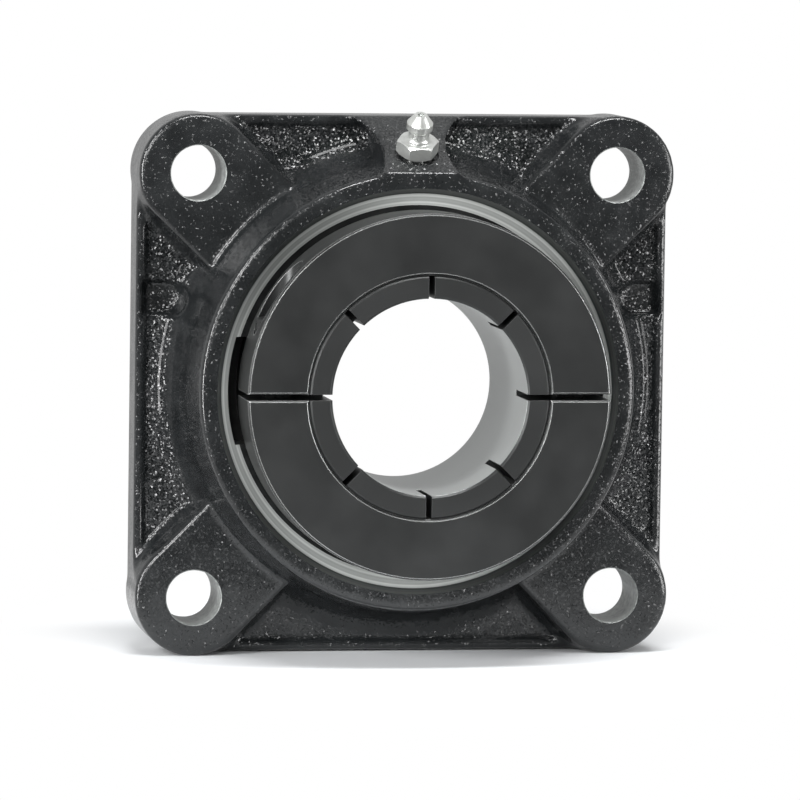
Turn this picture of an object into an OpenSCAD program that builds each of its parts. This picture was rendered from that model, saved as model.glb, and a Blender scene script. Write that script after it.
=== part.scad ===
// Four-bolt flange bearing: cast housing, self-aligning ball insert, split clamp collar.
// The shaft axis is Y, the front faces -Y and the mounting face lies in the plane Y = 0.
// Pieces are drawn lying on the mounting face, with z forwards, and are then stood up.

/* [Shaft and inner ring] */
// Diameter of the shaft bore
bore_d = 50.8; // [46:0.1:51.5]
// Thickness of the inner ring's wall
ring_wall = 6; // [5.5:0.1:7]
// Length of the inner ring
ring_l = 54; // [53:0.5:60]
// Distance from the mounting face to the back end of the inner ring
ring_back = 1.5; // [0.5:0.1:3]
// Chamfer of the inner ring's edges
ring_edge = 0.6; // [0.3:0.1:0.8]
// Number of slots that make the clamping fingers
finger_slots = 8; // [4:4:8]
// Width of each finger slot
finger_slot_w = 1.5; // [1:0.1:2.4]
// Depth of each finger slot from the front end
finger_slot_l = 16; // [8:0.5:18]

/* [Ball set] */
// Diameter of each ball
ball_d = 12.7; // [11:0.1:13]
// Number of balls
ball_n = 10; // [8:1:11]
// Diameter of the circle through the ball centres
pitch_d = 70; // [69:0.1:71]
// Radial gap from a ball to its grooves and its pocket
ball_gap = 0.15; // [0.1:0.01:0.25]
// Radial thickness of the cage
cage_t = 3.4; // [2.5:0.1:4]
// Width of the cage beyond the ball on each side
cage_side = 1.5; // [1:0.1:1.8]

/* [Outer ring and seals] */
// Diameter of the spherical outside of the outer ring
sphere_d = 90; // [89:0.1:92]
// Width of the outer ring
outer_w = 24; // [22.5:0.5:25]
// Radial depth of the ball groove in the outer ring
outer_groove = 2.9; // [2.5:0.1:3.2]
// Thickness of the seal plate
seal_t = 1.6; // [1.2:0.1:1.9]
// Depth of the seal below the outer ring's face
seal_in = 0.8; // [0.5:0.1:1]
// Gap from the seal lip to the inner ring
seal_gap = 0.2; // [0.1:0.05:0.4]
// Diameter of the two grease holes in the outer ring
lube_hole_d = 2.5; // [1.5:0.1:3]
// Thickness of a flinger
flinger_t = 1.2; // [0.8:0.1:1.5]
// Outside diameter of a flinger
flinger_d = 74; // [70:0.5:80]
// Gap from a flinger to the outer ring
flinger_gap = 0.4; // [0.3:0.05:0.8]

/* [Clamp collar] */
// Outside diameter of the collar
collar_d = 94.6; // [92:0.1:95.5]
// Width of the collar along the shaft
collar_w = 18; // [17.5:0.5:18.5]
// Gap from the front flinger to the collar
collar_gap = 1.9; // [1.2:0.1:2.5]
// Gap between the collar halves at each split
split_gap = 1.6; // [1:0.1:2.5]
// Chamfer of the collar's edges
collar_edge = 0.5; // [0.4:0.1:1.3]
// Chamfer of the edges along the splits
split_edge = 0.4; // [0.3:0.1:1]
// Diameter of the clamp screw
screw_d = 7.9; // [6.3:0.1:8]
// Length of the screw under its head
screw_l = 28; // [24:0.5:30]
// Distance from the shaft axis to each screw's axis
screw_x = 38.5; // [38:0.1:39]
// Diameter of the screw head
screw_head_d = 11.8; // [10:0.1:12]
// Height of the screw head
screw_head_h = 7.9; // [6:0.1:9]
// Distance across the flats of the key socket
screw_key = 6.35; // [5:0.05:6.5]
// Depth of the key socket
screw_key_l = 4; // [3:0.1:5]
// Height of the head's seat above the split
screw_seat = 12; // [11:0.1:13]

/* [Housing] */
// Distance between neighbouring bolt holes
bolt_pitch = 111.1; // [108:0.1:114]
// Diameter of the bolt holes
bolt_d = 14.4; // [12:0.1:16]
// Radius of the lugs round the bolt holes
lug_r = 15.4; // [14:0.1:16]
// Height of the lugs
lug_h = 19.2; // [17:0.1:21]
// Sideways slope of the lug walls over their height
lug_draft = 2.6; // [1.5:0.1:3]
// Rounding of the lugs' top edges
lug_edge = 1.1; // [0.6:0.1:1.6]
// Thickness of the flange plate at its rim
plate_t = 11.6; // [10:0.1:13]
// Distance that the plate's sides are set in from the lugs
plate_in = 0.4; // [0:0.1:0.8]
// Width of the smooth rim round the pockets
rim_w = 2.4; // [1.5:0.1:3]
// Depth of the pocket floors below the rim
pocket_in = 1.2; // [0.6:0.1:1.6]
// Radius of the hub at its front
hub_r = 57.1; // [56:0.1:58.5]
// Height of the hub
hub_h = 38.5; // [37:0.1:40]
// Rounding of the hub's front edge
hub_edge = 1.2; // [0.6:0.1:1.8]
// Outward slope of the hub's side above its flare
hub_draft = 2; // [1:0.1:3]
// Width of the flare at the hub's foot
flare_w = 8.4; // [6:0.1:9]
// Height of the flare at the hub's foot
flare_h = 15; // [12:0.5:18]

/* [Mouth and seat] */
// Radius of the mouth at the hub's front face
mouth_r = 52.8; // [52:0.1:53.5]
// Radius at the inner end of the mouth's taper
taper_r = 48.3; // [48:0.1:49]
// Depth of the mouth's taper
taper_l = 4.6; // [3:0.1:5]
// Width of the steeper edge at the front of the taper
mouth_edge = 1.4; // [1:0.1:2]
// Depth of that edge
mouth_edge_l = 2.4; // [1.6:0.1:2.8]
// Distance from the mounting face to the centre of the spherical seat
seat_z = 22; // [21.5:0.1:22.5]
// Half width of the spherical seat
seat_half = 11; // [10:0.1:11]
// Running gap between the seat and the outer ring
seat_gap = 0.05; // [0.03:0.01:0.1]
// Radius of the relief behind the seat
back_r = 46.5; // [46:0.1:49]
// Extra width of the loading slots over the outer ring
load_gap = 4; // [2:0.5:5]
// Radius of the floor of the loading slots
load_r = 49.5; // [49.2:0.1:50.5]
// Width of the grease groove in the seat
groove_w = 6; // [5:0.5:7]
// Depth of the grease groove in the seat
groove_in = 1.2; // [0.8:0.1:1.6]

/* [Side recesses] */
// Width of the shallow recess in each side of the plate
recess_w = 8.3; // [8:0.1:10]
// Height of the shallow recess
recess_l = 7.1; // [7:0.1:10]
// Depth of the shallow recess
recess_in = 2.4; // [1:0.1:3]
// Slope of the recess walls
recess_slope = 1.8; // [0.8:0.1:2.2]
// Distance from the lug's side to the recess
recess_edge = 1.7; // [1:0.1:3]
// Height of the recess above the shaft axis
recess_y = 22.5; // [21:0.1:26]

/* [Grease boss and fitting] */
// Forward lean of the fitting from upright
lean = 28; // [26:1:30]
// Height of the boss's face over the hub's side, on the fitting's axis
fit_y = 4.2; // [3.5:0.1:5]
// Distance of that point behind the hub's front
fit_z = 8.5; // [7.5:0.1:9.5]
// Width of the boss at its waist
boss_w = 17; // [15.5:0.1:19]
// Extra width of the boss at its foot and at the plate's edge
boss_flare = 7; // [4:0.5:9]
// Diameter of the spot face under the fitting
spot_d = 11.6; // [11:0.1:13.5]
// Depth of the spot face
spot_in = 0.7; // [0.4:0.1:1]
// Distance across the flats of the fitting's hexagon
hex_af = 9.7; // [8:0.1:10]
// Height of the hexagon
hex_h = 3.6; // [3:0.1:5]
// Gap from the spot face to the hexagon, where the thread shows
hex_gap = 1.4; // [0.5:0.1:2]
// Diameter of the fitting's shank
shank_d = 6; // [5.5:0.1:6.6]
// Length of the fitting's shank
shank_l = 6.5; // [5:0.1:7]
// Diameter of the fitting's head
head_d = 6.8; // [6.3:0.1:7]
// Height of the fitting above its hexagon
head_h = 7.5; // [7.2:0.1:9]
// Height of the cone at the fitting's tip
head_cone = 2.4; // [2.2:0.1:3.2]
// Height of the straight band under the cone
head_band = 1.6; // [0.6:0.1:1.8]
// Height of the slope from the band in to the neck
head_under = 0.8; // [0.6:0.1:1.1]
// Diameter of the fitting's neck
neck_d = 5.4; // [4.8:0.1:5.8]
// Diameter of the hole in the fitting's tip
tip_hole_d = 1.6; // [1.4:0.1:1.8]
// Diameter of the grease channel through the fitting
channel_d = 2.8; // [2.7:0.1:2.9]
// Thickness of the tip over the check ball's seat
nose_t = 0.7; // [0.5:0.1:0.9]
// Diameter of the check ball
check_d = 2.4; // [2.2:0.1:2.5]
// Gap from the check ball to its seat
check_gap = 0.05; // [0.03:0.01:0.1]
// Wire diameter of the check spring
wire_d = 0.4; // [0.3:0.05:0.45]
// Number of turns of the check spring
spring_turns = 5; // [3:1:6]

/* [Hidden] */
$fn = 96;

eps = 0.05;
// A pressed or threaded fit: two pieces that stay together
fit_gap = 0.02;
screw_play = 0.25;
bore_r = bore_d / 2;
ring_r = bore_r + ring_wall;
ring_front = ring_back + ring_l;
pitch_r = pitch_d / 2;
ball_r = ball_d / 2;
groove_r = ball_r + ball_gap;
sphere_r = sphere_d / 2;
shoulder_r = pitch_r + groove_r - outer_groove;
cage_w = ball_d + 2 * cage_side;
half_pitch = bolt_pitch / 2;
half_side = half_pitch + lug_r;
floor_t = plate_t - pocket_in;
collar_r = collar_d / 2;
flinger_front = seat_z + outer_w / 2 + flinger_gap + flinger_t;
collar_back = flinger_front + collar_gap;
collar_front = collar_back + collar_w;
collar_mid = collar_back + collar_w / 2;
load_w = outer_w + load_gap;
seat_r = sphere_r + seat_gap;
seat_lip_r = sqrt(seat_r * seat_r - seat_half * seat_half);
mouth_floor = hub_h - taper_l;
boss_y = hub_r + fit_y;
boss_z = hub_h - fit_z;
tip_z = hex_gap + hex_h + head_h;
// The check ball rests under a 45 degree cone that opens below the tip's hole
check_r = check_d / 2;
check_z = tip_z - nose_t + tip_hole_d / 2 - sqrt(2) * (check_r + check_gap);
seat_foot_z = tip_z - nose_t - (channel_d - tip_hole_d) / 2;
spring_top = check_z - check_r;
spring_foot = -shank_l + 3 * wire_d;
// The channel ends in the grease groove of the seat
channel_l = (boss_y - seat_r) / cos(lean);

cast_paint = "#2c2e2f";
bright_steel = "#a9acab";
black_oxide = "#3e3f3f";
satin_steel = "#8e9190";
zinc = "#c6c8c4";

function ball_name(i) = str("ball_", i < 10 ? "0" : "", i);
function arc(cx, cy, rx, ry, a, b, n) =
    [for (i = [0 : n]) let (t = a + (b - a) * i / n) [cx + rx * cos(t), cy + ry * sin(t)]];

module stand() { rotate([90, 0, 0]) children(); }

// The frame of the grease fitting: z runs out along its axis from the spot face
module at_fitting() {
    translate([0, boss_y, boss_z]) rotate([lean - 90, 0, 0])
        translate([0, 0, -spot_in]) children();
}

module at_bolts() {
    for (sx = [-1, 1], sy = [-1, 1]) translate([sx * half_pitch, sy * half_pitch, 0]) children();
}

// Outline of the flange: a square with round corners, moved in by a distance
module outline(inset) {
    side = 2 * (half_side - plate_in - inset);
    square([side, 2 * half_pitch], center = true);
    square([2 * half_pitch, side], center = true);
    for (sx = [-1, 1], sy = [-1, 1])
        translate([sx * half_pitch, sy * half_pitch]) circle(lug_r - inset);
}

// Half section of a lug: sloped wall, round top edge
function lug_section() = concat(
    [[0, 0], [lug_r + lug_draft, 0], [lug_r + lug_draft, floor_t]],
    [[lug_r + lug_draft * 0.35, floor_t + (lug_h - floor_t) * 0.3]],
    arc(lug_r - lug_edge, lug_h - lug_edge, lug_edge, lug_edge, 15, 90, 4),
    [[0, lug_h]]);

module lug_arm() {
    rotate_extrude() polygon(lug_section());
    rotate([90, 0, 90]) linear_extrude(half_pitch * sqrt(2))
        union() { polygon(lug_section()); mirror([1, 0]) polygon(lug_section()); }
}

module lugs() {
    intersection() {
        linear_extrude(lug_h + 1) outline(0);
        union() for (k = [0 : 3]) rotate([0, 0, 45 + 90 * k])
            translate([half_pitch * sqrt(2), 0, 0]) rotate([0, 0, 180]) lug_arm();
    }
}

// Outside of the hub: round front edge, drafted side, flared foot
module hub() {
    foot_r = hub_r + hub_draft + flare_w;
    rotate_extrude() polygon(concat(
        [[0, 0], [foot_r, 0]],
        arc(foot_r, floor_t + flare_h, flare_w, flare_h, 270, 180, 10),
        arc(hub_r - hub_edge, hub_h - hub_edge, hub_edge, hub_edge, 5, 90, 5),
        [[0, hub_h]]));
}

// Web from the hub to the plate's top edge, with hollow sides and a sloped face
module grease_boss() {
    waist = boss_w / 2;
    n = 12;
    root = mouth_r + eps;
    span = half_side - plate_in - root;
    side = [for (i = [0 : n]) let (t = i / n)
        [waist + boss_flare * pow(abs(2 * t - 1), 2.4), root + span * t]];
    intersection() {
        linear_extrude(hub_h) polygon(concat(side, [for (i = [n : -1 : 0]) [-side[i][0], side[i][1]]]));
        translate([0, boss_y, boss_z]) rotate([lean - 90, 0, 0])
            translate([0, 0, -half_side]) cube(2 * half_side, center = true);
    }
}

// Space inside the hub: mouth taper, spherical seat with its grease groove, relief at the back
module hub_space() {
    a = asin(seat_half / seat_r);
    g = asin(groove_w / 2 / seat_r);
    groove_z = groove_w / 2;
    rotate_extrude() polygon(concat(
        [[0, -1], [back_r, -1], [back_r, seat_z - seat_half - (back_r - seat_lip_r)]],
        arc(0, seat_z, seat_r, seat_r, -a, -g, 12),
        [[seat_r + groove_in, seat_z - groove_z], [seat_r + groove_in, seat_z + groove_z]],
        arc(0, seat_z, seat_r, seat_r, g, a, 12),
        [[taper_r, mouth_floor], [mouth_r - mouth_edge, hub_h - mouth_edge_l],
         [mouth_r, hub_h], [mouth_r, hub_h + 1], [0, hub_h + 1]]));
}

// Slots across the mouth, through which the insert is loaded edge on
module loading_slots() {
    intersection() {
        translate([0, 0, seat_z]) cylinder(r = load_r, h = hub_h);
        translate([-load_r - 1, -load_w / 2, seat_z]) cube([2 * load_r + 2, load_w, hub_h]);
    }
}

// Outline of a side recess: straight towards the plate's edge, round towards the hub
module recess_outline(grow) {
    r = recess_l / 2 + grow;
    circle(r, $fn = 32);
    translate([0, -r]) square([recess_w - recess_l / 2 + grow, 2 * r]);
}

// Shallow recess with sloped walls, which cuts into the hub's flare
module side_recess() {
    cx = half_side - recess_edge - recess_slope - recess_w + recess_l / 2;
    translate([cx, recess_y, 0]) {
        hull() {
            translate([0, 0, floor_t - recess_in]) linear_extrude(eps) recess_outline(0);
            translate([0, 0, plate_t]) linear_extrude(eps) recess_outline(recess_slope);
        }
        translate([0, 0, plate_t]) linear_extrude(hub_h) recess_outline(recess_slope);
    }
}

module housing() {
    color(cast_paint) stand() difference() {
        union() {
            linear_extrude(floor_t) outline(0);
            linear_extrude(plate_t) difference() { outline(0); outline(rim_w); }
            lugs();
            hub();
            grease_boss();
        }
        hub_space();
        loading_slots();
        at_bolts() translate([0, 0, -1]) cylinder(d = bolt_d, h = lug_h + 2);
        side_recess();
        mirror([1, 0, 0]) side_recess();
        at_fitting() {
            cylinder(d = spot_d, h = spot_d);
            translate([0, 0, -shank_l - fit_gap]) cylinder(d = shank_d + 2 * fit_gap, h = shank_l + 1);
            translate([0, 0, -channel_l]) cylinder(d = channel_d, h = channel_l);
        }
    }
}

module outer_ring() {
    h = outer_w / 2;
    a = asin(h / sphere_r);
    color(bright_steel) stand() difference() {
        translate([0, 0, seat_z]) rotate_extrude() polygon(concat(
            arc(0, 0, sphere_r, sphere_r, -a, a, 24),
            [[shoulder_r, h], [shoulder_r, -h]]));
        translate([0, 0, seat_z]) rotate_extrude() translate([pitch_r, 0]) circle(groove_r);
        for (k = [0, 1]) translate([0, 0, seat_z]) rotate([-90, 0, 90 * k + 45])
            translate([0, 0, pitch_r]) cylinder(d = lube_hole_d, h = sphere_r);
    }
}

module inner_ring() {
    e = ring_edge;
    color(satin_steel) stand() difference() {
        rotate_extrude() polygon([
            [bore_r, ring_back + e], [bore_r + e, ring_back],
            [ring_r - e, ring_back], [ring_r, ring_back + e],
            [ring_r, ring_front - e], [ring_r - e, ring_front],
            [bore_r + e, ring_front], [bore_r, ring_front - e]]);
        translate([0, 0, seat_z]) rotate_extrude() translate([pitch_r, 0]) circle(groove_r);
        for (k = [0 : finger_slots - 1]) rotate([0, 0, 360 / finger_slots * k])
            translate([bore_r - 2, -finger_slot_w / 2, ring_front - finger_slot_l])
                cube([ring_wall + 4, finger_slot_w, finger_slot_l + 1]);
    }
}

module at_balls(i) {
    translate([0, 0, seat_z]) rotate([0, 0, 360 / ball_n * (i - 0.5)])
        translate([pitch_r, 0, 0]) children();
}

module ball(i) { color(bright_steel) stand() at_balls(i) sphere(ball_r); }

// One moulded ring with a round pocket for each ball
module cage() {
    color("#c9b48a") stand() difference() {
        translate([0, 0, seat_z - cage_w / 2]) difference() {
            cylinder(r = pitch_r + cage_t / 2, h = cage_w);
            translate([0, 0, -1]) cylinder(r = pitch_r - cage_t / 2, h = cage_w + 2);
        }
        for (i = [1 : ball_n]) at_balls(i) rotate([0, 90, 0])
            cylinder(r = groove_r, h = 2 * cage_t, center = true);
    }
}

// Seal: a flat plate held in the outer ring, with a lip that runs on the inner ring
module seal() {
    color("#1d1f20") rotate_extrude() polygon([
        [ring_r + seal_gap, 0], [shoulder_r - fit_gap, 0], [shoulder_r - fit_gap, seal_t],
        [ring_r + seal_gap + 1.2, seal_t], [ring_r + seal_gap, seal_t * 0.6]]);
}

module front_seal() {
    stand() translate([0, 0, seat_z + outer_w / 2 - seal_in - seal_t]) seal();
}

module rear_seal() {
    stand() translate([0, 0, seat_z - outer_w / 2 + seal_in + seal_t]) mirror([0, 0, 1]) seal();
}

// Flinger: a thin dished washer pressed on the inner ring
module flinger() {
    color("#5a5d5c") rotate_extrude() polygon([
        [ring_r + fit_gap, 0], [flinger_d / 2, 0], [flinger_d / 2, flinger_t * 0.7],
        [flinger_d / 2 - 1.5, flinger_t], [ring_r + fit_gap, flinger_t]]);
}

module front_flinger() {
    stand() translate([0, 0, seat_z + outer_w / 2 + flinger_gap]) flinger();
}

module rear_flinger() {
    stand() translate([0, 0, seat_z - outer_w / 2 - flinger_gap]) mirror([0, 0, 1]) flinger();
}

module collar_body() {
    b = ring_r + fit_gap;
    rotate_extrude() polygon([
        [b, collar_back], [collar_r - collar_edge, collar_back],
        [collar_r, collar_back + collar_edge], [collar_r, collar_front - collar_edge],
        [collar_r - collar_edge, collar_front], [b + ring_edge, collar_front],
        [b, collar_front - ring_edge]]);
}

// Upper half of the collar, and with side = -1 the space that the lower half takes
module collar_half(side) {
    intersection() {
        collar_body();
        rotate([90, 0, 90]) translate([0, 0, -collar_r - 1]) linear_extrude(2 * collar_r + 2)
            polygon([for (p = [
                [split_gap / 2, collar_back - 1], [collar_r + 1, collar_back - 1],
                [collar_r + 1, collar_front + 1], [split_gap / 2 + split_edge + 1, collar_front + 1],
                [split_gap / 2, collar_front - split_edge]]) [side * p[0], p[1]]]);
    }
}

module at_screws() {
    for (s = [-1, 1]) translate([s * screw_x, 0, collar_mid]) rotate([-90, 0, 0]) children();
}

module upper_collar_half() {
    color(black_oxide) stand() difference() {
        collar_half(1);
        at_screws() {
            cylinder(d = screw_d + 2 * screw_play, h = collar_r);
            translate([0, 0, screw_seat]) cylinder(d = screw_head_d + 2 * screw_play, h = collar_r);
        }
    }
}

module lower_collar_half() {
    color(black_oxide) stand() difference() {
        collar_half(-1);
        at_screws() translate([0, 0, screw_seat - screw_l - 1])
            cylinder(d = screw_d + 2 * fit_gap, h = screw_l);
    }
}

// Socket head screw, with its head towards +z and its seat at z = 0
module clamp_screw() {
    color(black_oxide) difference() {
        union() {
            translate([0, 0, -screw_l]) cylinder(d = screw_d, h = screw_l + 1);
            cylinder(d = screw_head_d, h = screw_head_h - 0.6);
            translate([0, 0, screw_head_h - 0.6])
                cylinder(d1 = screw_head_d, d2 = screw_head_d - 1.2, h = 0.6);
        }
        translate([0, 0, screw_head_h - screw_key_l])
            cylinder(d = screw_key / cos(30), h = screw_key_l + 1, $fn = 6);
    }
}

module placed_screw(s) {
    stand() translate([s * screw_x, 0, collar_mid]) rotate([-90, 0, 0])
        translate([0, 0, screw_seat]) clamp_screw();
}

module left_collar_screw() { placed_screw(-1); }
module right_collar_screw() { placed_screw(1); }

// Grease fitting: threaded shank, hexagon, waisted neck and tapered head, drilled through
module grease_fitting() {
    r = head_d / 2;
    n = neck_d / 2;
    under = head_h - head_cone - head_band - head_under;
    foot = under / 2;
    color(zinc) stand() at_fitting() difference() {
        union() {
            translate([0, 0, -shank_l]) cylinder(d = shank_d, h = shank_l + hex_gap + eps);
            translate([0, 0, hex_gap]) intersection() {
                cylinder(d = hex_af / cos(30), h = hex_h, $fn = 6);
                rotate_extrude() polygon([
                    [0, 0], [hex_af * 0.52, 0], [hex_af * 0.6, hex_h * 0.15], [hex_af * 0.6, hex_h * 0.8],
                    [hex_af * 0.48, hex_h], [0, hex_h]]);
            }
            translate([0, 0, hex_gap + hex_h]) rotate_extrude() polygon(concat(
                [[0, -eps], [n + foot, -eps]],
                arc(n + foot, foot, foot, foot, 270, 180, 6),
                [[n, under], [r, under + head_under], [r, under + head_under + head_band],
                 [r * 0.47, head_h], [0, head_h]]));
        }
        rotate_extrude() polygon([
            [0, -shank_l - 1], [channel_d / 2, -shank_l - 1], [channel_d / 2, seat_foot_z],
            [tip_hole_d / 2, tip_z - nose_t], [tip_hole_d / 2, tip_z + 1], [0, tip_z + 1]]);
    }
}

module grease_check_ball() {
    color(satin_steel) stand() at_fitting() translate([0, 0, check_z]) sphere(check_r);
}

// Coil spring between the shank's foot and the check ball
module grease_check_spring() {
    sides = 6;
    turn_steps = 12;
    steps = turn_steps * spring_turns;
    w = wire_d / 2;
    coil_r = channel_d / 2 - w - 0.1;
    rise = spring_top - spring_foot - wire_d;
    points = [for (i = [0 : steps], k = [0 : sides - 1])
        let (a = 360 * i / turn_steps, t = 360 * k / sides, rr = coil_r + w * cos(t))
        [rr * cos(a), rr * sin(a), spring_foot + w + rise * i / steps + w * sin(t)]];
    faces = concat(
        [[for (k = [0 : sides - 1]) k]],
        [for (i = [0 : steps - 1], k = [0 : sides - 1], h = [0, 1])
            let (m = (k + 1) % sides, p = i * sides, q = (i + 1) * sides)
            h == 0 ? [p + k, q + k, q + m] : [p + k, q + m, p + m]],
        [[for (k = [sides - 1 : -1 : 0]) steps * sides + k]]);
    color(satin_steel) stand() at_fitting() polyhedron(points, faces);
}

housing();
outer_ring();
inner_ring();
cage();
for (i = [1 : ball_n]) ball(i);
front_seal();
rear_seal();
front_flinger();
rear_flinger();
upper_collar_half();
lower_collar_half();
left_collar_screw();
right_collar_screw();
grease_fitting();
grease_check_ball();
grease_check_spring();
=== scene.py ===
"""Four-bolt flange bearing: the looks of the cast housing, the ball insert and the split collar."""
import math

import bmesh
import bpy
from mathutils import Matrix, Vector


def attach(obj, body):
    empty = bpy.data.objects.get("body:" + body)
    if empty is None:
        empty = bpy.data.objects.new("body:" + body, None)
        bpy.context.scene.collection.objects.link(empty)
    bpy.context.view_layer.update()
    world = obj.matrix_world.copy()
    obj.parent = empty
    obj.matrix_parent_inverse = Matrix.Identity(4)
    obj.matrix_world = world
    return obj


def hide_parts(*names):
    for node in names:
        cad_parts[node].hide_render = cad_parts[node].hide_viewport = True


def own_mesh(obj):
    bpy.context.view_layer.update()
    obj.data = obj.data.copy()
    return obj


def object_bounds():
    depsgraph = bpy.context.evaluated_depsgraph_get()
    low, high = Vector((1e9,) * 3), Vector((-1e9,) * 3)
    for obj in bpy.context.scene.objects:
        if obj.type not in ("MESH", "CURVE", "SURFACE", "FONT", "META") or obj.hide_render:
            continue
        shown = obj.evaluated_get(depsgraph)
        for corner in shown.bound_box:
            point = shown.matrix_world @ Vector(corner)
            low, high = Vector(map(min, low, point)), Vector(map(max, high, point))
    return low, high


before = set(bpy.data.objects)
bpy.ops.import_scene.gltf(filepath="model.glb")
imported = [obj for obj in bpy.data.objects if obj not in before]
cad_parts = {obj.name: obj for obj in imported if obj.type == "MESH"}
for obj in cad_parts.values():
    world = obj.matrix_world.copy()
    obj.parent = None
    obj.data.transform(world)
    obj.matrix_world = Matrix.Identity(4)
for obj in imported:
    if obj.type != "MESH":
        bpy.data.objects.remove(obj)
cad_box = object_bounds()


# Housing: one grey-iron sand casting with four bolt lugs, a flared hub and a grease boss.
# It is dipped in gloss black enamel, then the mouth, seat, bolt holes and back are machined bare.
MM = 0.001


def linear(colour):
    """An sRGB hex colour as linear RGBA."""
    parts = [int(colour[i:i + 2], 16) / 255 for i in (1, 3, 5)]
    return (*[c / 12.92 if c <= 0.04045 else ((c + 0.055) / 1.055) ** 2.4 for c in parts], 1)


def add(tree, kind, inputs=None, **settings):
    """A new node with its settings. An input takes a value, a socket, or a node's first output."""
    node = tree.nodes.new(kind)
    for name, value in settings.items():
        setattr(node, name, value)
    for name, value in (inputs or {}).items():
        if isinstance(value, bpy.types.Node):
            value = next(out for out in value.outputs if out.enabled)
        if isinstance(value, bpy.types.NodeSocket):
            tree.links.new(value, node.inputs[name])
        else:
            node.inputs[name].default_value = value
    return node


# Edges are broken with a file: a rounding of 0.3 mm that draws a thin line of light
BROKEN_EDGE = 0.3 * MM


def finish(name, dark, light, patch_mm, smooth, rough, metallic,
           relief=None, lay=None, coat=0.0, edge_wear_and_highlight=None):
    """A finish whose colour and roughness drift over patches, or along the lay that a tool left in it,
    with the bump that relief returns. Broken edges can take a lighter colour, partly wear and partly a
    painted highlight line."""
    material = bpy.data.materials.new(name)
    material.use_nodes = True
    tree = material.node_tree
    tree.nodes.clear()
    place = add(tree, "ShaderNodeTexCoord").outputs["Object"]
    patches = add(tree, "ShaderNodeTexNoise", {"Vector": lay(tree, place) if lay else place,
                                               "Scale": 1 / (patch_mm * MM), "Detail": 3.0})
    drift = add(tree, "ShaderNodeMapRange", {"Value": patches, "From Min": 0.3, "From Max": 0.7})
    tone = add(tree, "ShaderNodeMix", {0: drift, 6: linear(dark), 7: linear(light)},
               data_type="RGBA")
    sheen = add(tree, "ShaderNodeMapRange", {"Value": drift, "To Min": smooth, "To Max": rough})
    bump = {"Normal": relief(tree, place)} if relief else {}
    # The pale colour on broken edges is partly wear and partly a painted highlight line
    if edge_wear_and_highlight:
        rounded = add(tree, "ShaderNodeBevel", {"Radius": BROKEN_EDGE})
        flat = add(tree, "ShaderNodeNewGeometry").outputs["Normal"]
        same = add(tree, "ShaderNodeVectorMath", {0: rounded, 1: flat}, operation="DOT_PRODUCT")
        edge = add(tree, "ShaderNodeMapRange", {"Value": same.outputs["Value"],
                                                "From Min": 0.99, "From Max": 0.94})
        tone = add(tree, "ShaderNodeMix", {0: edge, 6: tone, 7: linear(edge_wear_and_highlight)}, data_type="RGBA")
        bump = bump or {"Normal": rounded}
    shader = add(tree, "ShaderNodeBsdfPrincipled", {"Base Color": tone, "Roughness": sheen,
                                                    "Metallic": metallic, "Coat Weight": coat, **bump})
    add(tree, "ShaderNodeOutputMaterial", {"Surface": shader})
    return material


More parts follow.
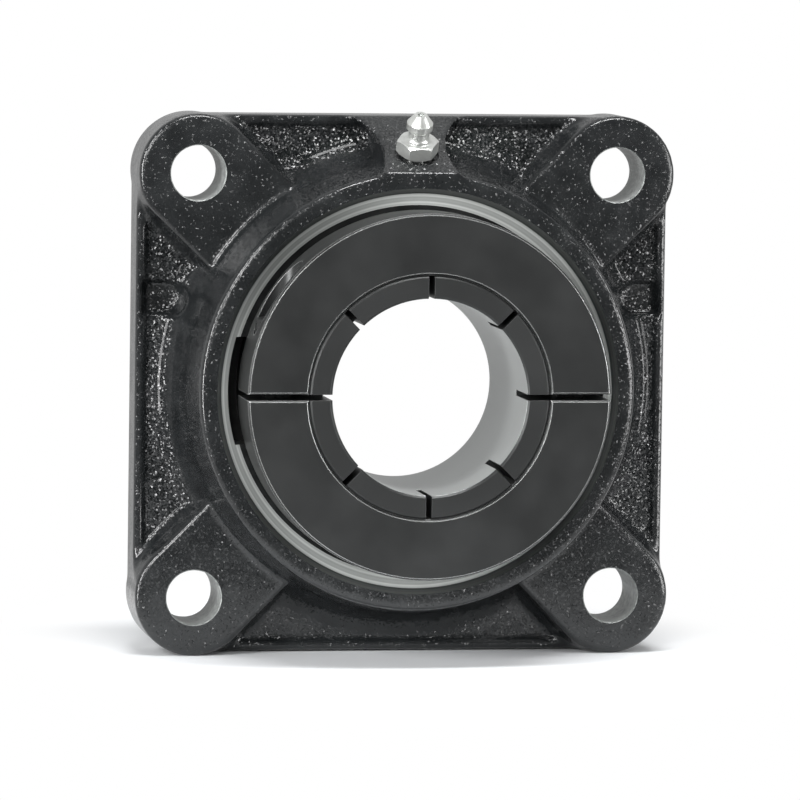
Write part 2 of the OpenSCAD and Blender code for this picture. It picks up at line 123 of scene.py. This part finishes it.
def sand_grain(tree, place):
    """Sand grains under the film, each with a face of its own. They are drawn at 0.4 mm, coarser
    than real, so that they show. Pocket floors keep them all. Walls, the rim and the raised faces
    were dressed smoother, so grains stand out there in a few places only."""
    grain, spot, wave, most_tilt = 0.4 * MM, 0.8 * MM, 4 * MM, 1.35
    rim_out, rim_in = 68.4 * MM, 67.4 * MM
    raised, sunk = 15 * MM, 12 * MM
    foot_low, foot_high = -52 * MM, -20 * MM
    recess_floor, pocket_floor = 8.8 * MM, 9.7 * MM
    apart = add(tree, "ShaderNodeVectorMath", {0: place}, operation="ABSOLUTE")
    apart = add(tree, "ShaderNodeSeparateXYZ", {"Vector": apart}).outputs
    height = add(tree, "ShaderNodeSeparateXYZ", {"Vector": place}).outputs["Z"]
    facing = add(tree, "ShaderNodeTexCoord").outputs["Normal"]
    facing = add(tree, "ShaderNodeSeparateXYZ", {"Vector": facing}).outputs
    edge = add(tree, "ShaderNodeMath", {0: apart["X"], 1: apart["Z"]}, operation="MAXIMUM")
    inside = add(tree, "ShaderNodeMapRange", {"Value": edge, "From Min": rim_out, "From Max": rim_in})
    low = add(tree, "ShaderNodeMapRange", {"Value": apart["Y"], "From Min": raised, "From Max": sunk})
    level = add(tree, "ShaderNodeMapRange", {"Value": facing["Y"], "From Min": -0.5,
                                             "From Max": -0.75})
    # The lower pockets were fettled smoother
    fettled = add(tree, "ShaderNodeMapRange", {"Value": height, "From Min": foot_low,
                                               "From Max": foot_high, "To Min": 0.22})
    # The side recesses lie deeper than the pocket floors, and the film pooled smooth in them
    pooled = add(tree, "ShaderNodeMapRange", {"Value": apart["Y"], "From Min": recess_floor,
                                              "From Max": pocket_floor, "To Min": 0.4})
    rough = inside
    for mask in (low, level, fettled, pooled):
        rough = add(tree, "ShaderNodeMath", {0: rough, 1: mask}, operation="MULTIPLY")
    spots = add(tree, "ShaderNodeTexNoise", {"Vector": place, "Scale": 1 / spot, "Detail": 2.0})
    few = add(tree, "ShaderNodeMapRange", {"Value": spots, "From Min": 0.47, "From Max": 0.82})
    front = add(tree, "ShaderNodeMapRange", {"Value": level, "To Min": 0.45})
    few = add(tree, "ShaderNodeMath", {0: few, 1: front}, operation="MULTIPLY")
    # The boss's sloping face was left as cast, too
    slope = add(tree, "ShaderNodeMapRange", {"Value": facing["Z"], "From Min": 0.78,
                                             "From Max": 0.86, "To Max": 0.5})
    proud = add(tree, "ShaderNodeMath", {0: 1.0, 1: low}, operation="SUBTRACT")
    boss = add(tree, "ShaderNodeMath", {0: slope, 1: proud}, operation="MULTIPLY")
    for mask in (few, boss):
        rough = add(tree, "ShaderNodeMath", {0: rough, 1: mask}, operation="MAXIMUM")
    waves = add(tree, "ShaderNodeTexNoise", {"Vector": place, "Scale": 1 / wave, "Detail": 2.0})
    swell = add(tree, "ShaderNodeBump", {"Strength": 0.2, "Distance": 0.5 * MM, "Height": waves})
    grains = add(tree, "ShaderNodeTexVoronoi", {"Vector": place, "Scale": 1 / grain})
    lean = add(tree, "ShaderNodeVectorMath", {0: grains.outputs["Color"], 1: (0.5, 0.5, 0.5)},
               operation="SUBTRACT")
    reach = add(tree, "ShaderNodeMath", {0: rough, 1: most_tilt}, operation="MULTIPLY")
    tilt = add(tree, "ShaderNodeVectorMath", {0: lean, "Scale": reach}, operation="SCALE")
    faced = add(tree, "ShaderNodeVectorMath", {0: swell, 1: tilt}, operation="ADD")
    return add(tree, "ShaderNodeVectorMath", {0: faced}, operation="NORMALIZE")


# Gloss enamel over a sand casting: near black and wet, and each grain under it throws a point of light
enamel = finish("gloss_enamel_on_cast_iron", "#121415", "#1c1e1f", 6, 0.18, 0.28, 0.0, sand_grain,
                coat=0.2)


def ring_lay(tree, place):
    """Rings round the shaft's axis, as a turning tool leaves them: only radius and depth count."""
    across = add(tree, "ShaderNodeVectorMath", {0: place, 1: (1, 0, 1)}, operation="MULTIPLY")
    radius = add(tree, "ShaderNodeVectorMath", {0: across}, operation="LENGTH")
    depth = add(tree, "ShaderNodeSeparateXYZ", {"Vector": place}).outputs["Y"]
    return add(tree, "ShaderNodeCombineXYZ", {"X": radius.outputs["Value"], "Y": depth})


def feed_marks(tree, place):
    """The ridges of the tool's feed, drawn at 0.8 mm, coarser than real, so that they show."""
    rings = add(tree, "ShaderNodeTexNoise", {"Vector": ring_lay(tree, place),
                                             "Scale": 1 / (0.8 * MM), "Detail": 2.0})
    return add(tree, "ShaderNodeBump", {"Strength": 0.5, "Distance": 0.15 * MM, "Height": rings})


# Turned grey iron: graphite in it keeps the face a soft grey with fine rings, never mirror bright. Its
# grey is made lighter than the iron's own, a painted light for the mouth that the collar shades
turned_iron_painted_light = finish("turned_cast_iron_painted_light", "#949795", "#d6d9d6", 0.8, 0.38, 0.5, 0.1,
                     feed_marks, ring_lay)
# Drilled iron: the torn wall of a hole, a duller grey
drilled_iron = finish("drilled_cast_iron", "#5e6160", "#989b99", 1.2, 0.4, 0.5, 0.3)
# Turned iron in a darker grey: the band round the mouth's edge
darker_edge_iron = finish("darker_edge_cast_iron", "#484b4a", "#686b69", 0.8, 0.4, 0.5, 0.3,
                      feed_marks, ring_lay)
# The seat and the slots lie deep behind the collar, so their iron is made almost black: a painted shade
# for the shadow there
deep_painted_shade_iron = finish("deep_painted_shade_cast_iron", "#202121", "#2e2f2f", 3, 0.4, 0.5, 0.2)
# Milled iron, on the mounting side: an even mid grey with the rings of one wide cutter
milled_iron = finish("milled_cast_iron", "#868988", "#9c9f9d", 2, 0.38, 0.46, 0.6,
                     feed_marks, ring_lay)

# The casting lies on its mounting face with z forwards, and is stood up so that z runs towards -Y
ON_SHAFT = Matrix.Rotation(math.pi / 2, 4, "X")


def solid(name, verts, faces, material=None):
    """A new mesh object with its normals pointing outwards, in metres."""
    mesh = bpy.data.meshes.new(name)
    mesh.from_pydata([Vector(v) for v in verts], [], faces)
    made = bpy.data.objects.new(name, mesh)
    bpy.context.scene.collection.objects.link(made)
    shell = bmesh.new()
    shell.from_mesh(mesh)
    bmesh.ops.remove_doubles(shell, verts=shell.verts, dist=1e-7)
    bmesh.ops.recalc_face_normals(shell, faces=shell.faces)
    shell.to_mesh(mesh)
    shell.free()
    if material:
        mesh.materials.append(material)
    return made


def turned(name, section, material=None, steps=128, move=ON_SHAFT):
    """A solid of revolution from (radius, distance along the axis) points in mm, placed by a matrix."""
    verts, faces, n = [], [], len(section)
    for i in range(steps):
        a = 2 * math.pi * i / steps
        verts += [Vector((r * math.cos(a), r * math.sin(a), h)) * MM for r, h in section]
    for i in range(steps):
        j = (i + 1) % steps
        for k in range(n):
            m = (k + 1) % n
            if section[k][0] or section[m][0]:
                faces.append(list(dict.fromkeys((i * n + k, j * n + k, j * n + m, i * n + m))))
    made = solid(name, verts, faces, material)
    made.data.transform(move)
    return made


def own_copy(node, name, material):
    """A CAD node's mesh as a piece of its own, with the points along its seams merged."""
    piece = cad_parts[node].copy()
    piece.data = piece.data.copy()
    piece.name = piece.data.name = name
    piece.parent = None
    piece.matrix_world = Matrix.Identity(4)
    bpy.context.scene.collection.objects.link(piece)
    piece.data.materials.clear()
    piece.data.materials.append(material)
    joined = bmesh.new()
    joined.from_mesh(piece.data)
    bmesh.ops.remove_doubles(joined, verts=joined.verts, dist=2e-6)
    joined.to_mesh(piece.data)
    joined.free()
    return piece


def apply(piece):
    """Turns a piece's modifiers into its plain mesh."""
    graph = bpy.context.evaluated_depsgraph_get()
    mesh = bpy.data.meshes.new_from_object(piece.evaluated_get(graph))
    piece.modifiers.clear()
    old, piece.data = piece.data, mesh
    bpy.data.meshes.remove(old)


def cut(piece, tool):
    """Cuts a tool out of a piece. The cut faces take the tool's material."""
    step = piece.modifiers.new("cut", "BOOLEAN")
    step.operation, step.object = "DIFFERENCE", tool
    step.solver, step.material_mode = "EXACT", "TRANSFER"
    apply(piece)
    bpy.data.objects.remove(tool)


def shade(piece, sharp_deg):
    """Shades a piece smooth, apart from the edges that turn by more than an angle."""
    for face in piece.data.polygons:
        face.use_smooth = True
    piece.data.set_sharp_from_angle(angle=math.radians(sharp_deg))


hub_front, seat_centre, lug_front, half_pitch, bolt_r = 38.5, 22.0, 19.2, 55.55, 7.2
lean, boss_face, spot_deep, spot_r = 28.0, Vector((0, 61.3, 30.0)), 0.7, 5.8
AT_FITTING = (ON_SHAFT @ Matrix.Translation(boss_face * MM)
              @ Matrix.Rotation(math.radians(lean - 90), 4, "X")
              @ Matrix.Translation((0, 0, -spot_deep * MM)))
at_bolts = [Matrix.Translation((sx * half_pitch * MM, 0, sy * half_pitch * MM)) @ ON_SHAFT
            for sx in (-1, 1) for sy in (-1, 1)]

# The raw casting: the part's own form with its holes plugged, so that one skin can be rounded like
# a casting. A second form just behind it carries the skin past the back face, which is then cut.
past_back, skin_voxel = 3.0, 0.66
casting = own_copy("housing", "cast_housing", enamel)
skin = bmesh.new()
skin.from_mesh(casting.data)
behind = bmesh.ops.duplicate(skin, geom=skin.verts[:] + skin.edges[:] + skin.faces[:])["geom"]
bmesh.ops.translate(skin, vec=(0, past_back * MM, 0),
                    verts=[v for v in behind if isinstance(v, bmesh.types.BMVert)])
# Radius, start and end of each plug along its axis
plugs = [(54.5, -2, hub_front, ON_SHAFT), (6.3, -17, spot_deep, AT_FITTING)]
plugs += [(8, -2, lug_front, at) for at in at_bolts]
for plug_r, start, end, at in plugs:
    plug = turned("plug", [(0, start), (plug_r, start), (plug_r, end), (0, end)], move=at)
    skin.from_mesh(plug.data)
    bpy.data.objects.remove(plug)
skin.to_mesh(casting.data)
skin.free()
remesh = casting.modifiers.new("skin", "REMESH")
remesh.mode, remesh.voxel_size, remesh.use_smooth_shade = "VOXEL", skin_voxel * MM, True
soften = casting.modifiers.new("round", "SMOOTH")
soften.factor, soften.iterations = 0.5, 5
apply(casting)

# The machining: back face, bolt holes, seat and mouth, loading slots, then the fitting's spot face
cutter_half, cutter_deep = 0.09, 0.01
corners = [(sx * cutter_half, y, sz * cutter_half) for y in (0.0, cutter_deep)
           for sx, sz in ((-1, -1), (1, -1), (1, 1), (-1, 1))]
sides = [(0, 1, 2, 3), (7, 6, 5, 4), (0, 4, 5, 1), (1, 5, 6, 2), (2, 6, 7, 3), (3, 7, 4, 0)]
cut(casting, solid("back_cut", corners, sides, milled_iron))

# Each tool starts behind the back, and the drill breaks the edge of its hole on the lug
tool_back, drill_end = -3, 25
hole_edge_r, hole_edge_in, hole_edge_out = bolt_r + 0.4, lug_front - 0.25, lug_front + 0.15
for at in at_bolts:
    cut(casting, turned("drill", [(0, tool_back), (bolt_r, tool_back), (bolt_r, hole_edge_in),
                                  (hole_edge_r, hole_edge_out), (hole_edge_r, drill_end),
                                  (0, drill_end)], drilled_iron, steps=64, move=at))


def arc(r, centre, low, high, steps=16):
    """Section points on a sphere round a centre on the axis, from a low angle to a high one."""
    return [(r * math.cos(a), centre + r * math.sin(a))
            for a in (low + (high - low) * i / steps for i in range(steps + 1))]


seat_r, seat_half, groove_half, groove_deep, back_r = 45.05, 11.0, 3.0, 1.2, 46.5
mouth_r, taper_r, taper_l, edge_w, edge_l = 52.8, 48.3, 4.6, 1.4, 2.4
rise, groove_rise = math.asin(seat_half / seat_r), math.asin(groove_half / seat_r)
lip_r = math.sqrt(seat_r ** 2 - seat_half ** 2)
tool_front, taper_at = hub_front + 1, hub_front - taper_l
seat_section = ([(0, tool_back), (back_r, tool_back),
                 (back_r, seat_centre - seat_half - (back_r - lip_r))]
                + arc(seat_r, seat_centre, -rise, -groove_rise)
                + [(seat_r + groove_deep, seat_centre + s * groove_half) for s in (-1, 1)]
                + arc(seat_r, seat_centre, groove_rise, rise)
                + [(taper_r, taper_at), (taper_r, tool_front), (0, tool_front)])
# The seat's faces take the near-black painted shade
cut(casting, turned("seat", seat_section, deep_painted_shade_iron, steps=192))
edge_r, edge_at = mouth_r - edge_w, hub_front - edge_l
flare_r, flare_at = mouth_r + 0.4, hub_front - 0.1
cut(casting, turned("mouth", [(0, taper_at), (taper_r, taper_at), (edge_r, edge_at),
                              (edge_r, tool_front), (0, tool_front)], turned_iron_painted_light, steps=192))
cut(casting, turned("mouth_edge", [(0, edge_at), (edge_r, edge_at), (mouth_r, flare_at),
                                   (flare_r, tool_front), (0, tool_front)],
                    darker_edge_iron, steps=192))

# Two slots in the mouth let the insert in edgewise, before it is turned into its seat. Their faces take
# the seat's near-black painted shade
slot_half, slot_r, slot_inner, slot_front, slot_steps = 14.0, 49.5, 30, hub_front + 2, 16
swing = math.asin(slot_half / slot_r)
for side in (-1, 1):
    loop = [(slot_r * math.cos(a) * side, slot_r * math.sin(a))
            for a in (swing * (2 * i / slot_steps - 1) for i in range(slot_steps + 1))]
    loop += [(slot_inner * side, slot_half), (slot_inner * side, -slot_half)]
    n = len(loop)
    verts = [Vector((x, y, h)) * MM for h in (seat_centre, slot_front) for x, y in loop]
    faces = [tuple(range(n)), tuple(range(2 * n - 1, n - 1, -1))]
    faces += [(k, (k + 1) % n, n + (k + 1) % n, n + k) for k in range(n)]
    slot_tool = solid("loading_slot", verts, faces, deep_painted_shade_iron)
    slot_tool.data.transform(ON_SHAFT)
    cut(casting, slot_tool)

shank_r, shank_l, channel_r, channel_l, spot_end = 3.02, 6.52, 1.4, 18.4, 12
cut(casting, turned("spot_face", [(0, -channel_l), (channel_r, -channel_l), (channel_r, -shank_l),
                                  (shank_r, -shank_l), (shank_r, 0), (spot_r, 0),
                                  (spot_r, spot_end), (0, spot_end)], enamel, steps=48,
                    move=AT_FITTING))
shade(casting, sharp_deg=32)
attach(casting, "housing_body")
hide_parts("housing")


# Clamp collar: two halves turned from steel bar, chamfered all round and blackened.
# The finish is an even dark satin grey, and only its chamfers catch a line of light: a pale colour on
# their edges, partly wear and partly a painted highlight, helps draw it.
def dress(material, *nodes):
    """Gives CAD nodes a material."""
    for node in nodes:
        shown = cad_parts[node].data.materials
        shown.clear()
        shown.append(material)


# Black oxide on turned steel: a thin dark skin, so the metal's own sheen comes through. Its edges are
# pale, partly wear and partly a painted highlight
black_oxide = finish("black_oxide_steel", "#303131", "#373838", 12, 0.3, 0.36, 0.6, edge_wear_and_highlight="#b8bab9")
dress(black_oxide, "upper_collar_half", "lower_collar_half")


# Inner ring: bearing steel, sawn into eight fingers at the front that the collar squeezes.
# Its outside is blackened with the collar, and the bore is ground to bare satin metal.
bore_r, bore_skin, streak_l, streak_w = 25.4, 0.08, 25, 0.6
ring_steel = bpy.data.materials.new("ground_bearing_steel")
ring_steel.use_nodes = True
tree = ring_steel.node_tree
tree.nodes.clear()
place = add(tree, "ShaderNodeTexCoord").outputs["Object"]
radius = add(tree, "ShaderNodeSeparateXYZ", {"Vector": ring_lay(tree, place)}).outputs["X"]
bare = add(tree, "ShaderNodeMath", {0: radius, 1: (bore_r + bore_skin) * MM}, operation="LESS_THAN")
# Grinding runs round the bore, so its streaks are long round the shaft and 0.6 mm wide along it
streaks = add(tree, "ShaderNodeMapping", {"Vector": place,
                                          "Scale": (1 / streak_l, 1 / streak_w, 1 / streak_l)})
grind = add(tree, "ShaderNodeTexNoise", {"Vector": streaks, "Scale": 1 / MM, "Detail": 3.0})
metal = add(tree, "ShaderNodeMix", {0: grind, 6: linear("#868988"), 7: linear("#b4b7b6")},
            data_type="RGBA")
tone = add(tree, "ShaderNodeMix", {0: bare, 6: linear("#3a3b3b"), 7: metal}, data_type="RGBA")
sheen = add(tree, "ShaderNodeMapRange", {"Value": grind, "From Min": 0.3, "From Max": 0.7,
                                         "To Min": 0.3, "To Max": 0.42})
edges = add(tree, "ShaderNodeBevel", {"Radius": BROKEN_EDGE})
shader = add(tree, "ShaderNodeBsdfPrincipled", {"Base Color": tone, "Roughness": sheen,
                                                "Metallic": 0.7, "Normal": edges})
add(tree, "ShaderNodeOutputMaterial", {"Surface": shader})
dress(ring_steel, "inner_ring")


# Clamp screws: socket head cap screws of alloy steel, with rolled threads, blackened and oiled.
# The head and socket are the CAD's own, and the thread shows where the shank crosses the splits.
head_seat, core_r, ridge_h, thread_pitch = 12.0, 3.3, 0.6, 1.41
shank_top, shank_most = (head_seat + 0.1) * MM, (core_r + ridge_h + 0.2) * MM
# Oil on black oxide: as dark as the collar, but slicker, so the ridges glint
screw_oxide = finish("oiled_black_oxide", "#2e2f2f", "#424343", 1, 0.26, 0.36, 0.7)

# The ridge follows a helix round the core and has a pointed section, as a rolled thread has
thread = bpy.data.node_groups.new("rolled_thread", "GeometryNodeTree")
for name in ("Core radius", "Ridge height", "Pitch", "Length"):
    thread.interface.new_socket(name, in_out="INPUT", socket_type="NodeSocketFloat")
thread.interface.new_socket("Geometry", in_out="OUTPUT", socket_type="NodeSocketGeometry")
given = add(thread, "NodeGroupInput").outputs
turns = add(thread, "ShaderNodeMath", {0: given["Length"], 1: given["Pitch"]}, operation="DIVIDE")
helix = add(thread, "GeometryNodeCurveSpiral", {"Resolution": 40, "Rotations": turns,
                                               "Height": given["Length"],
                                               "Start Radius": given["Core radius"],
                                               "End Radius": given["Core radius"], "Reverse": True})
section = add(thread, "GeometryNodeCurvePrimitiveCircle", {"Resolution": 4,
                                                           "Radius": given["Ridge height"]})
wound = add(thread, "GeometryNodeCurveToMesh", {"Curve": helix, "Profile Curve": section,
                                               "Fill Caps": True})
real = add(thread, "GeometryNodeRealizeInstances", {"Geometry": wound})
coated = add(thread, "GeometryNodeSetMaterial", {"Geometry": real, "Material": screw_oxide})
add(thread, "NodeGroupOutput", {"Geometry": coated})

for node in ("left_collar_screw", "right_collar_screw"):
    screw = own_copy(node, "threaded_" + node, screw_oxide)
    points = [v.co for v in screw.data.vertices]
    foot = min(p.z for p in points)
    axis = sum((Vector((f(p.x for p in points), f(p.y for p in points), 0)) for f in (min, max)),
               Vector()) / 2
    # The plain shank under the head shrinks to the thread's core
    for vert in screw.data.vertices:
        off = vert.co - axis
        off.z = 0
        if vert.co.z < shank_top and core_r * MM < off.length < shank_most:
            vert.co -= off * (1 - core_r * MM / off.length)
    ridge = solid("thread_ridge", [], [])
    step = ridge.modifiers.new("thread", "NODES")
    step.node_group = thread
    sizes = {"Core radius": core_r * MM, "Ridge height": ridge_h * MM, "Pitch": thread_pitch * MM,
             "Length": head_seat * MM - foot - 2 * ridge_h * MM}
    for socket in thread.interface.items_tree:
        if socket.in_out == "INPUT":
            step[socket.identifier] = sizes[socket.name]
    apply(ridge)
    ridge.data.transform(Matrix.Translation(axis + Vector((0, 0, foot + ridge_h * MM))))
    joined = bmesh.new()
    joined.from_mesh(screw.data)
    joined.from_mesh(ridge.data)
    joined.to_mesh(screw.data)
    joined.free()
    bpy.data.objects.remove(ridge)
    shade(screw, sharp_deg=32)
    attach(screw, "shaft_set")
    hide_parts(node)


# Ball set: through-hardened steel rings and balls, ground and lapped, in a moulded nylon cage.
# Rubber seals sit in the outer ring, and pressed steel flingers turn in front of them.

# The outer ring: a dull, even dark grey, a painted shade for the shadow inside the housing's mouth
outer_ring_shade = finish("outer_ring_painted_shade", "#2b2c2c", "#353636", 4, 0.3, 0.38, 0.7)
# Lapped balls: mirror bright
lapped_steel = finish("lapped_steel", "#b6b9b9", "#c4c6c6", 5, 0.08, 0.12, 1.0)
# Glass-filled nylon: a matt straw colour
nylon = finish("glass_filled_nylon", "#b79f72", "#c8b184", 2, 0.45, 0.55, 0.0)
# Nitrile rubber: matt, and close to black
seal_rubber = finish("nitrile_rubber", "#17191a", "#222425", 1.5, 0.55, 0.65, 0.0)
# Pressed sheet, a dark grey a little duller than the collar: a painted shade for the shadow inside the
# housing's mouth
flinger_painted_shade = finish("flinger_painted_shade", "#252626", "#323333", 2, 0.38, 0.46, 0.7)
dress(outer_ring_shade, "outer_ring")
dress(lapped_steel, "grease_check_ball", *[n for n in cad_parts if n.startswith("ball_")])
dress(nylon, "cage")
dress(seal_rubber, "front_seal", "rear_seal")
dress(flinger_painted_shade, "front_flinger", "rear_flinger")


# Grease fitting: turned from hexagon steel bar, drilled for its check ball and screwed into the boss.
# Zinc plate keeps it bright and slightly warm.
zinc = finish("bright_zinc_plate", "#c6c8c5", "#d6d8d5", 2, 0.28, 0.34, 0.8)
dress(zinc, "grease_fitting")


# Check spring: five turns of drawn steel wire in the fitting's channel, which hold the ball on its seat.
# Its foot stays in the shank.
# Drawn wire is bright, with a satin sheen
spring_wire = finish("drawn_spring_steel", "#8c8f8e", "#a6a9a8", 1, 0.25, 0.35, 1.0)
spring = own_copy("grease_check_spring", "coiled_check_spring", spring_wire)
shade(spring, sharp_deg=75)
along = AT_FITTING.to_3x3() @ Vector((0, 0, 1))
coil = sorted((v.co for v in spring.data.vertices), key=along.dot)
foot = coil[0].copy()
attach(spring, "housing_body")
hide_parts("grease_check_spring")
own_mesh(spring)


# Studio: a white floor under the flange's lower edge, white behind, and six soft lamps round the front.
# The floor is lit round the object, where the shadow falls, and fades to plain white further away.
floor_half, lit_r, plain_r, floor_z = 0.17, 0.08, 0.13, cad_box[0].z
floor_mesh = bpy.data.meshes.new("floor")
floor_mesh.from_pydata([(x * floor_half, y * floor_half, floor_z)
                        for x, y in ((-1, -1), (1, -1), (1, 1), (-1, 1))], [], [(0, 1, 2, 3)])
floor = bpy.data.objects.new("floor", floor_mesh)
bpy.context.scene.collection.objects.link(floor)
# Matt white board: it takes the shadow softly, and its far parts are as white as the backdrop
white_floor = bpy.data.materials.new("white_floor")
white_floor.use_nodes = True
floor_mesh.materials.append(white_floor)
tree = white_floor.node_tree
tree.nodes.clear()
place = add(tree, "ShaderNodeTexCoord").outputs["Object"]
# The lit part is an oval, longer from front to back than across
stretch = add(tree, "ShaderNodeVectorMath", {0: place, 1: (1.25, 0.8, 0)}, operation="MULTIPLY")
away = add(tree, "ShaderNodeVectorMath", {0: stretch}, operation="LENGTH")
fade = add(tree, "ShaderNodeMapRange", {"Value": away, "From Min": lit_r, "From Max": plain_r},
           interpolation_type="SMOOTHSTEP")
path = add(tree, "ShaderNodeLightPath").outputs
seen = add(tree, "ShaderNodeMath", {0: path["Is Camera Ray"], 1: path["Is Glossy Ray"]},
           operation="MAXIMUM")
seen = add(tree, "ShaderNodeMath", {0: seen, 1: path["Is Transmission Ray"]}, operation="MAXIMUM")
plain = add(tree, "ShaderNodeMath", {0: seen, 1: fade}, operation="MULTIPLY")
matt = add(tree, "ShaderNodeBsdfPrincipled", {"Base Color": linear("#f4f6f8"), "Roughness": 0.5})
glow = add(tree, "ShaderNodeEmission", {"Color": linear("#ffffff"), "Strength": 1.0})
both = add(tree, "ShaderNodeMixShader", {0: plain, 1: matt, 2: glow})
add(tree, "ShaderNodeOutputMaterial", {"Surface": both})

# A white backdrop stands behind the object, and the room in front of it is dimmer
room_light, room_glint, backdrop_glint = 0.25, 0.2, 0.6
world = bpy.data.worlds.new("studio")
bpy.context.scene.world = world
world.use_nodes = True
tree = world.node_tree
tree.nodes.clear()
toward = add(tree, "ShaderNodeTexCoord").outputs["Generated"]
toward = add(tree, "ShaderNodeSeparateXYZ", {"Vector": toward}).outputs["Y"]
backdrop = add(tree, "ShaderNodeMapRange", {"Value": toward, "From Min": -0.2, "From Max": 0.3,
                                            "To Min": room_glint, "To Max": backdrop_glint})
path = add(tree, "ShaderNodeLightPath").outputs
seen = add(tree, "ShaderNodeMath", {0: path["Is Camera Ray"], 1: path["Is Transmission Ray"]},
           operation="MAXIMUM")
around = add(tree, "ShaderNodeMix", {0: path["Is Glossy Ray"], 2: room_light, 3: backdrop})
strength = add(tree, "ShaderNodeMix", {0: seen, 2: around, 3: 1.0})
glow = add(tree, "ShaderNodeBackground", {"Color": linear("#ffffff"), "Strength": strength})
add(tree, "ShaderNodeOutputWorld", {"Surface": glow})


def softbox(name, at, size, watts):
    """A rectangular lamp, in metres, that looks at the hub."""
    lamp = bpy.data.lights.new(name, "AREA")
    lamp.shape, lamp.size, lamp.size_y, lamp.energy = "RECTANGLE", size[0], size[1], watts
    made = bpy.data.objects.new(name, lamp)
    made.location = at
    hub = Vector((0, -0.02, 0))
    made.rotation_euler = (hub - Vector(at)).to_track_quat("-Z", "Y").to_euler()
    bpy.context.scene.collection.objects.link(made)


softbox("key", (-0.75, -0.75, 0.55), (0.22, 0.3), 5)
softbox("front", (-0.4, -1.1, 0.32), (0.25, 0.25), 4)
softbox("top", (0.05, -0.35, 0.9), (0.6, 0.18), 10)
softbox("left_strip", (-1.0, -0.5, 0.1), (0.2, 0.7), 12)
softbox("right_strip", (1.0, -0.5, 0.1), (0.15, 0.7), 6)
softbox("right_fill", (0.75, -0.9, -0.02), (0.3, 0.3), 3.5)

# A long lens, a little to the left of the shaft's axis and above it
camera = bpy.data.objects.new("camera", bpy.data.cameras.new("camera"))
camera.data.sensor_width, camera.data.lens, camera.data.clip_end = 36, 295.644, 20
camera.location = (-0.29747, -1.70856, 0.14266)
camera.rotation_euler = [math.radians(a) for a in (85.1212, -0.8091, -9.8647)]
bpy.context.scene.collection.objects.link(camera)
bpy.context.scene.camera = camera
bpy.context.scene.view_settings.view_transform = "Standard"
